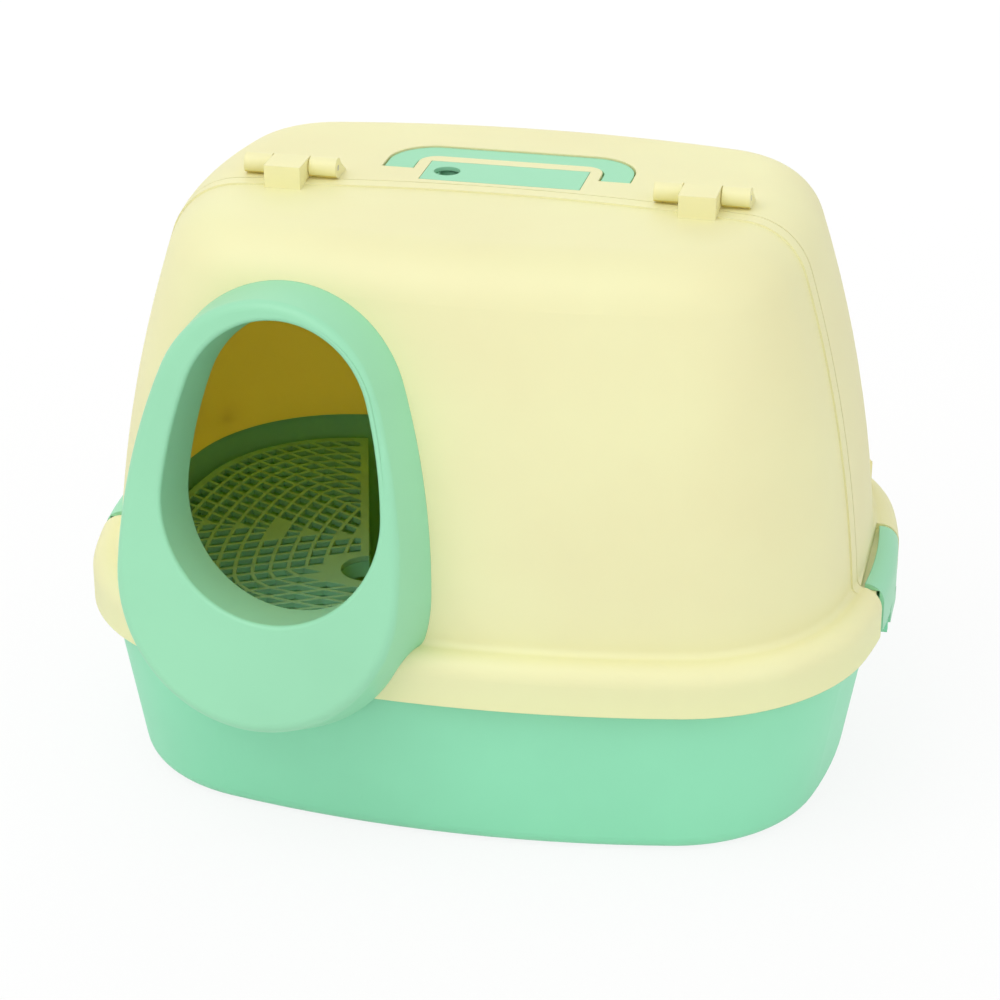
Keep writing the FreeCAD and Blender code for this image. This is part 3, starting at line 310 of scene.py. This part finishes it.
@dataclass(frozen=True)
class MouldedPlastic:
    """Soft matt injection-moulded plastic: faint clouding, spark-eroded grain and softened edges."""

    name: str
    colour: Colour
    clouding: float = 0.035
    cloud_scale: float = 7.0
    cloud_detail: float = 3.0
    cloud_range: tuple[float, float] = (0.3, 0.7)
    grain_scale: float = 1400.0
    grain_detail: float = 2.0
    grain_strength: float = 0.35
    grain_depth: float = 0.00004
    sheen_scale: float = 38.0
    sheen_detail: float = 4.0
    roughness: float = 0.41
    rough_by_sheen: float = 0.07
    rough_by_grain: float = 0.03
    specular: float = 0.42
    edge_radius: float = 0.0009
    edge_samples: int = 6
    light_through: float = 0.0
    light_through_inside: float = 0.0
    through_colour: Colour = WHITE
    inside_middle: Place = (0.0, 0.0, 0.1)
    inside_limit: float = -0.55

    def build(self) -> bpy.types.Material:
        """Make the material.

        Returns:
            The plastic.
        """
        shader = Shader(self.name)
        shades = (brighter(self.colour, 1 - self.clouding), brighter(self.colour, 1 + self.clouding))
        cloud = shader.noise(self.cloud_scale, self.cloud_detail)
        tint = shader.ramp(cloud, zip(self.cloud_range, shades))
        grain = shader.noise(self.grain_scale, self.grain_detail)
        sheen = shader.noise(self.sheen_scale, self.sheen_detail)
        edge = shader.node("ShaderNodeBevel", {"samples": self.edge_samples}, {"Radius": self.edge_radius})
        surface = {
            "Base Color": tint,
            "Roughness": self.roughness + sheen * self.rough_by_sheen + grain * self.rough_by_grain,
            "Specular IOR Level": self.specular,
            "Normal": shader.relief(grain, self.grain_strength, self.grain_depth, edge),
        }
        if not self.light_through:
            return shader.close("ShaderNodeBsdfPrincipled", surface)
        inside = shader.facing_in(self.inside_middle, self.inside_limit)
        share = self.light_through + (self.light_through_inside - self.light_through) * inside
        skin = shader.node("ShaderNodeBsdfPrincipled", {}, surface)
        through = shader.node("ShaderNodeBsdfTranslucent", {}, {"Color": self.through_colour})
        return shader.close("ShaderNodeMixShader", {0: share, 1: skin, 2: through})


@dataclass(frozen=True)
class DrawnSteel:
    """Drawn steel wire with fine lines along it."""

    name: str
    colour: Colour
    line_scale: float = 900.0
    line_detail: float = 3.0
    line_stretch: Place = (0.05, 1.0, 1.0)
    line_range: tuple[float, float] = (0.3, 0.7)
    line_shade: float = 0.82
    line_strength: float = 0.2
    line_depth: float = 0.00002
    roughness: float = 0.24
    rough_by_line: float = 0.18

    def build(self) -> bpy.types.Material:
        """Make the material.

        Returns:
            The steel.
        """
        shader = Shader(self.name)
        lines = shader.noise(self.line_scale, self.line_detail, self.line_stretch)
        shades = (brighter(self.colour, self.line_shade), self.colour)
        surface = {
            "Base Color": shader.ramp(lines, zip(self.line_range, shades)),
            "Metallic": 1.0,
            "Roughness": self.roughness + lines * self.rough_by_line,
            "Normal": shader.relief(lines, self.line_strength, self.line_depth),
        }
        return shader.close("ShaderNodeBsdfPrincipled", surface)


@dataclass(frozen=True)
class CharcoalFelt:
    """Black needled felt, or the granules held in it."""

    name: str
    colour: Colour
    fibre_scale: float = 900.0
    fibre_detail: float = 6.0
    fibre_stretch: Place = (1.0, 0.35, 1.0)
    fibre_strength: float = 0.8
    fibre_depth: float = 0.0004
    patch_scale: float = 60.0
    patch_detail: float = 3.0
    patch_share: float = 0.3
    tint_range: tuple[float, float] = (0.35, 0.75)
    tint_lift: float = 2.6
    roughness: float = 0.82
    rough_by_patch: float = 0.14

    def build(self) -> bpy.types.Material:
        """Make the material.

        Returns:
            The felt.
        """
        shader = Shader(self.name)
        fibres = shader.noise(self.fibre_scale, self.fibre_detail, self.fibre_stretch)
        patches = shader.noise(self.patch_scale, self.patch_detail)
        shades = (self.colour, brighter(self.colour, self.tint_lift))
        mixed = fibres * (1 - self.patch_share) + patches * self.patch_share
        surface = {
            "Base Color": shader.ramp(mixed, zip(self.tint_range, shades)),
            "Roughness": self.roughness + patches * self.rough_by_patch,
            "Normal": shader.relief(fibres, self.fibre_strength, self.fibre_depth),
        }
        return shader.close("ShaderNodeBsdfPrincipled", surface)


Finish = MouldedPlastic | DrawnSteel | CharcoalFelt


@dataclass
class Palette:
    """The finishes of this box."""

    cream: MouldedPlastic = MouldedPlastic(
        "cream_hood_plastic",
        from_screen(255, 251, 199),
        light_through=0.2,
        light_through_inside=0.6,
        through_colour=(0.99, 0.83, 0.10, 1.0),
    )
    tray_mint: MouldedPlastic = MouldedPlastic("mint_tray_plastic", from_screen(146, 226, 185))
    trim_mint: MouldedPlastic = MouldedPlastic("mint_trim_plastic", from_screen(152, 218, 178), roughness=0.38)
    steel: DrawnSteel = DrawnSteel("drawn_steel", (0.56, 0.57, 0.58, 1.0))
    felt: CharcoalFelt = CharcoalFelt("charcoal_felt", (0.012, 0.012, 0.013, 1.0))
    granule: CharcoalFelt = CharcoalFelt("charcoal_granule", (0.02, 0.02, 0.021, 1.0), fibre_scale=2400.0)
    built: dict[str, bpy.types.Material] = field(default_factory=dict)

    def material(self, finish: Finish) -> bpy.types.Material:
        """Return a finish's material, made once.

        Args:
            finish: the finish wanted.

        Returns:
            Its material.
        """
        if finish.name not in self.built:
            self.built[finish.name] = finish.build()
        return self.built[finish.name]


@dataclass
class SubAssembly:
    """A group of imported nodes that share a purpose."""

    frame: dict[str, Any]
    palette: Palette

    def finishes(self) -> dict[str, Finish]:
        """Return the finish of each node, by the node's name."""
        return {}

    def dress(self) -> None:
        """Give every node of the group its finish."""
        for node, finish in self.finishes().items():
            piece = self.frame["nodes"][node]
            material = self.palette.material(finish)
            if not piece.material_slots:
                piece.data.materials.append(material)
            for slot in piece.material_slots:
                slot.material = material
            log.info("dressed %s in %s", node, finish.name)

    def build(self) -> None:
        """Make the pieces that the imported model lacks."""


@dataclass
class Tray(SubAssembly):
    """The tapered tray."""

    def finishes(self) -> dict[str, Finish]:
        """Return the tray's finish."""
        return {"base_tray": self.palette.tray_mint}


@dataclass
class Hood(SubAssembly):
    """Both halves of the hood, the hinge pins and the entrance collar."""

    def finishes(self) -> dict[str, Finish]:
        """Return the finishes of the hood's pieces."""
        look = self.palette
        pins = {f"hinge_pin_{side}": look.steel for side in ENDS}
        halves = {node: look.cream for node in ("rear_hood", "front_hood")}
        return {**halves, "entrance_collar": look.trim_mint, **pins}


@dataclass
class CarryHandle(SubAssembly):
    """The folding handle and its pins."""

    def finishes(self) -> dict[str, Finish]:
        """Return the finishes of the handle and its pins."""
        pins = {f"handle_pin_{side}": self.palette.steel for side in ENDS}
        return {"carry_handle": self.palette.trim_mint, **pins}


@dataclass
class Latches(SubAssembly):
    """The two latches and their pins."""

    def finishes(self) -> dict[str, Finish]:
        """Return the finishes of the latches and their pins."""
        made: dict[str, Finish] = {}
        for side in ENDS:
            made[f"latch_{side}"] = self.palette.trim_mint
            made[f"latch_pin_{side}"] = self.palette.steel
        return made


@dataclass
class SieveStep(SubAssembly):
    """The sieve grid and the pan under it."""

    def finishes(self) -> dict[str, Finish]:
        """Return the finishes of the grid and the pan."""
        return {"sieve_grid": self.palette.trim_mint, "sieve_pan": self.palette.tray_mint}


@dataclass
class FilterSet(SubAssembly):
    """The filter lid, its cassette and the charcoal pad with its granules."""

    fill: float = 0.8
    crown: float = 0.0011
    crown_power: int = 4
    waist: float = 0.02
    cuts: int = 7
    margin: float = 0.0016
    edge_segments: int = 3
    columns: int = 46
    rows: int = 12
    end_margins: int = 8
    side_margins: int = 4
    granule_size: float = 0.0011
    granule_density: float = 260000.0
    granule_least: Place = (0.45, 0.4, 0.3)
    granule_most: Place = (1.0, 0.9, 0.6)
    seed: int = 7

    def finishes(self) -> dict[str, Finish]:
        """Return the finishes of the lid and the cassette."""
        return {"filter_lid": self.palette.trim_mint, "filter_cassette": self.palette.trim_mint}

    def build(self) -> None:
        """Make the pad and the granules on it."""
        pad = self._make_pad()
        granules = self._make_granules()
        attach(pad, Body.BOX.value)
        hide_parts("charcoal_pad")
        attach(granules, Body.BOX.value)
        log.info("made %s and %s", pad.name, granules.name)

    def _make_pad(self) -> bpy.types.Object:
        """Make the felt pad: a closed crowned form whose sides pull in at its middle.

        Returns:
            The pad.
        """
        low, high = (Vector(corner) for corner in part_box("charcoal_pad"))
        middle, half = (low + high) / 2, (high - low) / 2
        mesh = bmesh.new()
        bmesh.ops.create_cube(mesh, size=2.0)
        bmesh.ops.subdivide_edges(mesh, edges=list(mesh.edges), cuts=self.cuts, use_grid_fill=True)
        on_top = 1 - 1 / (self.cuts + 1)
        for vertex in mesh.verts:
            u, v, w = vertex.co
            belly = 1 - self.waist * (1 - w * w)
            swell = (1 - u ** self.crown_power) * (1 - v ** self.crown_power)
            lift = self.crown * (swell - 1) if w > on_top else 0.0
            vertex.co = middle + Vector((u * half.x * belly, v * half.y * belly, w * half.z + lift))
        data = bpy.data.meshes.new("charcoal_felt_pad")
        mesh.to_mesh(data)
        mesh.free()
        pad = bpy.data.objects.new("charcoal_felt_pad", data)
        bpy.context.scene.collection.objects.link(pad)
        pad.data.materials.append(self.palette.material(self.palette.felt))
        bevel = pad.modifiers.new("soft edge", "BEVEL")
        bevel.width = self.margin
        bevel.segments = self.edge_segments
        bevel.limit_method = "ANGLE"
        for face in pad.data.polygons:
            face.use_smooth = True
        return pad

    def _make_granules(self) -> bpy.types.Object:
        """Scatter charcoal granules over the pad's top.

        Returns:
            The granules as one plain mesh.
        """
        low, high = (Vector(corner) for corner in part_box("charcoal_pad"))
        span = high - low
        tree = self._granule_tree()
        carrier = bpy.data.objects.new("granule_field", bpy.data.meshes.new("granule_field"))
        bpy.context.scene.collection.objects.link(carrier)
        modifier = carrier.modifiers.new("granules", "NODES")
        modifier.node_group = tree
        wanted = {
            "Length": span.x - self.end_margins * self.margin,
            "Width": span.y - self.side_margins * self.margin,
            "Height": high.z - self.crown,
            "Centre Y": (low.y + high.y) / 2,
            "Granule Size": self.granule_size,
            "Density": self.granule_density,
        }
        for item in tree.interface.items_tree:
            if item.item_type == "SOCKET" and item.name in wanted:
                modifier[item.identifier] = wanted[item.name]
        carrier.update_tag()
        evaluated = carrier.evaluated_get(bpy.context.evaluated_depsgraph_get())
        data = bpy.data.meshes.new_from_object(evaluated)
        bpy.data.objects.remove(carrier)
        data.name = "charcoal_granules"
        granules = bpy.data.objects.new("charcoal_granules", data)
        bpy.context.scene.collection.objects.link(granules)
        return granules

    def _granule_tree(self) -> bpy.types.NodeTree:
        """Make the Geometry Nodes tree that scatters the granules.

        Returns:
            The tree.
        """
        tree = bpy.data.node_groups.new("charcoal granules", "GeometryNodeTree")
        tree.interface.new_socket("Geometry", in_out="OUTPUT", socket_type="NodeSocketGeometry")
        for name in ("Length", "Width", "Height", "Centre Y", "Granule Size", "Density"):
            tree.interface.new_socket(name, in_out="INPUT", socket_type="NodeSocketFloat")
        nodes, link = tree.nodes, tree.links.new
        given = nodes.new("NodeGroupInput").outputs
        sheet = nodes.new("GeometryNodeMeshGrid")
        sheet.inputs["Vertices X"].default_value = self.columns
        sheet.inputs["Vertices Y"].default_value = self.rows
        link(given["Length"], sheet.inputs["Size X"])
        link(given["Width"], sheet.inputs["Size Y"])
        spread = nodes.new("GeometryNodeDistributePointsOnFaces")
        spread.inputs["Seed"].default_value = self.seed
        link(sheet.outputs["Mesh"], spread.inputs["Mesh"])
        link(given["Density"], spread.inputs["Density"])
        stone = nodes.new("GeometryNodeMeshIcoSphere")
        stone.inputs["Subdivisions"].default_value = 1
        link(given["Granule Size"], stone.inputs["Radius"])
        turn = nodes.new("FunctionNodeRandomValue")
        turn.data_type = "FLOAT_VECTOR"
        turn.inputs["Max"].default_value = (math.tau, math.tau, math.tau)
        turn.inputs["Seed"].default_value = self.seed
        grow = nodes.new("FunctionNodeRandomValue")
        grow.data_type = "FLOAT_VECTOR"
        grow.inputs["Min"].default_value = self.granule_least
        grow.inputs["Max"].default_value = self.granule_most
        grow.inputs["Seed"].default_value = self.seed + 1
        strew = nodes.new("GeometryNodeInstanceOnPoints")
        link(spread.outputs["Points"], strew.inputs["Points"])
        link(stone.outputs["Mesh"], strew.inputs["Instance"])
        link(turn.outputs["Value"], strew.inputs["Rotation"])
        link(grow.outputs["Value"], strew.inputs["Scale"])
        lift = nodes.new("ShaderNodeCombineXYZ")
        link(given["Centre Y"], lift.inputs["Y"])
        link(given["Height"], lift.inputs["Z"])
        move = nodes.new("GeometryNodeTransform")
        link(strew.outputs["Instances"], move.inputs["Geometry"])
        link(lift.outputs["Vector"], move.inputs["Translation"])
        real = nodes.new("GeometryNodeRealizeInstances")
        link(move.outputs["Geometry"], real.inputs["Geometry"])
        paint = nodes.new("GeometryNodeSetMaterial")
        paint.inputs["Material"].default_value = self.palette.material(self.palette.granule)
        link(real.outputs["Geometry"], paint.inputs["Geometry"])
        link(paint.outputs["Geometry"], nodes.new("NodeGroupOutput").inputs["Geometry"])
        return tree


@dataclass(frozen=True)
class Lamp:
    """A square soft lamp: where it hangs, the length of its side, its watts and whether gloss shows it."""

    name: str
    place: Place
    size: float
    power: float
    in_gloss: bool = True


@dataclass
class Studio:
    """Pale floor, soft lamps and the camera at the photograph's angle."""

    azimuth: float = 12.5
    elevation: float = 25.1
    distance: float = 2.1135
    target: Place = (0.0, 0.0, 0.1685)
    lens: float = 108.0
    sensor: float = 36.0
    far_clip: float = 200.0
    floor_size: float = 30.0
    floor_drop: float = 0.0002
    floor_paint: Colour = (0.9, 0.9, 0.9, 1.0)
    floor_glow: float = 0.86
    sky: float = 0.74
    lamps: tuple[Lamp, ...] = (
        Lamp("key lamp", (-1.0, -1.7, 3.1), 2.6, 44.0),
        Lamp("fill lamp", (2.4, -1.6, 1.6), 2.0, 10.0),
        Lamp("back lamp", (-0.6, 2.2, 0.85), 1.6, 15.0, in_gloss=False),
    )

    def build(self) -> None:
        """Make the floor, the light and the camera."""
        self._floor()
        self._world()
        for lamp in self.lamps:
            self._hang(lamp)
        self._camera()
        bpy.context.scene.view_settings.view_transform = "Standard"

    @staticmethod
    def _seen(shader: Shader) -> Term:
        """Return 1 where a ray shows the background: seen straight, in gloss or through glass."""
        kinds = ("Is Camera Ray", "Is Glossy Ray", "Is Transmission Ray")
        camera, gloss, through = (shader.node("ShaderNodeLightPath", {}, {}, kind) for kind in kinds)
        return camera + gloss + through

    def _floor(self) -> None:
        """Make the pale floor, which keeps a soft shadow."""
        mesh = bmesh.new()
        bmesh.ops.create_grid(mesh, x_segments=1, y_segments=1, size=self.floor_size)
        data = bpy.data.meshes.new("floor")
        mesh.to_mesh(data)
        mesh.free()
        floor = bpy.data.objects.new("floor", data)
        floor.location = (0.0, 0.0, -self.floor_drop)
        bpy.context.scene.collection.objects.link(floor)
        shader = Shader("pale_floor")
        paint = shader.node("ShaderNodeBsdfDiffuse", {}, {"Color": self.floor_paint})
        glow = shader.node("ShaderNodeEmission", {}, {"Color": WHITE, "Strength": 1.0})
        share = self._seen(shader) * self.floor_glow
        data.materials.append(shader.close("ShaderNodeMixShader", {0: share, 1: paint, 2: glow}))

    def _world(self) -> None:
        """Light the scene evenly from all round, with a white background."""
        world = bpy.data.worlds.new("soft white")
        bpy.context.scene.world = world
        world.use_nodes = True
        nodes, link = world.node_tree.nodes, world.node_tree.links.new
        nodes.clear()
        path = nodes.new("ShaderNodeLightPath").outputs
        seen = nodes.new("ShaderNodeMath")
        link(path["Is Camera Ray"], seen.inputs[0])
        link(path["Is Glossy Ray"], seen.inputs[1])
        sky, white = (nodes.new("ShaderNodeBackground") for _ in range(2))
        for shade, strength in ((sky, self.sky), (white, 1.0)):
            shade.inputs["Color"].default_value = WHITE
            shade.inputs["Strength"].default_value = strength
        mix = nodes.new("ShaderNodeMixShader")
        link(seen.outputs[0], mix.inputs[0])
        link(sky.outputs[0], mix.inputs[1])
        link(white.outputs[0], mix.inputs[2])
        link(mix.outputs[0], nodes.new("ShaderNodeOutputWorld").inputs["Surface"])

    def _hang(self, lamp: Lamp) -> None:
        """Hang a lamp, facing the box.

        Args:
            lamp: the lamp wanted.
        """
        data = bpy.data.lights.new(lamp.name, "AREA")
        data.shape = "SQUARE"
        data.size = lamp.size
        data.energy = lamp.power
        hung = bpy.data.objects.new(lamp.name, data)
        hung.location = lamp.place
        way = Vector(self.target) - Vector(lamp.place)
        hung.rotation_euler = way.to_track_quat("-Z", "Y").to_euler()
        hung.visible_glossy = lamp.in_gloss
        bpy.context.scene.collection.objects.link(hung)

    def _camera(self) -> None:
        """Make the camera at the photograph's viewing angle."""
        turn, rise = math.radians(self.azimuth), math.radians(self.elevation)
        level = math.cos(rise)
        away = Vector((math.sin(turn) * level, -math.cos(turn) * level, math.sin(rise)))
        data = bpy.data.cameras.new("camera")
        data.lens = self.lens
        data.sensor_width = self.sensor
        data.clip_end = self.far_clip
        camera = bpy.data.objects.new("camera", data)
        camera.location = Vector(self.target) + away * self.distance
        camera.rotation_euler = (-away).to_track_quat("-Z", "Y").to_euler()
        bpy.context.scene.collection.objects.link(camera)
        bpy.context.scene.camera = camera


def main() -> None:
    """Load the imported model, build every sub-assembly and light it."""
    logging.basicConfig(level=logging.INFO, format="%(message)s")
    bpy.ops.wm.read_factory_settings(use_empty=True)
    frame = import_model()
    palette = Palette()
    groups = [kind(frame, palette) for kind in (Tray, Hood, CarryHandle, Latches, SieveStep, FilterSet)]
    for group in groups:
        group.dress()
        group.build()
    Studio().build()


if __name__ == "__main__":
    main()
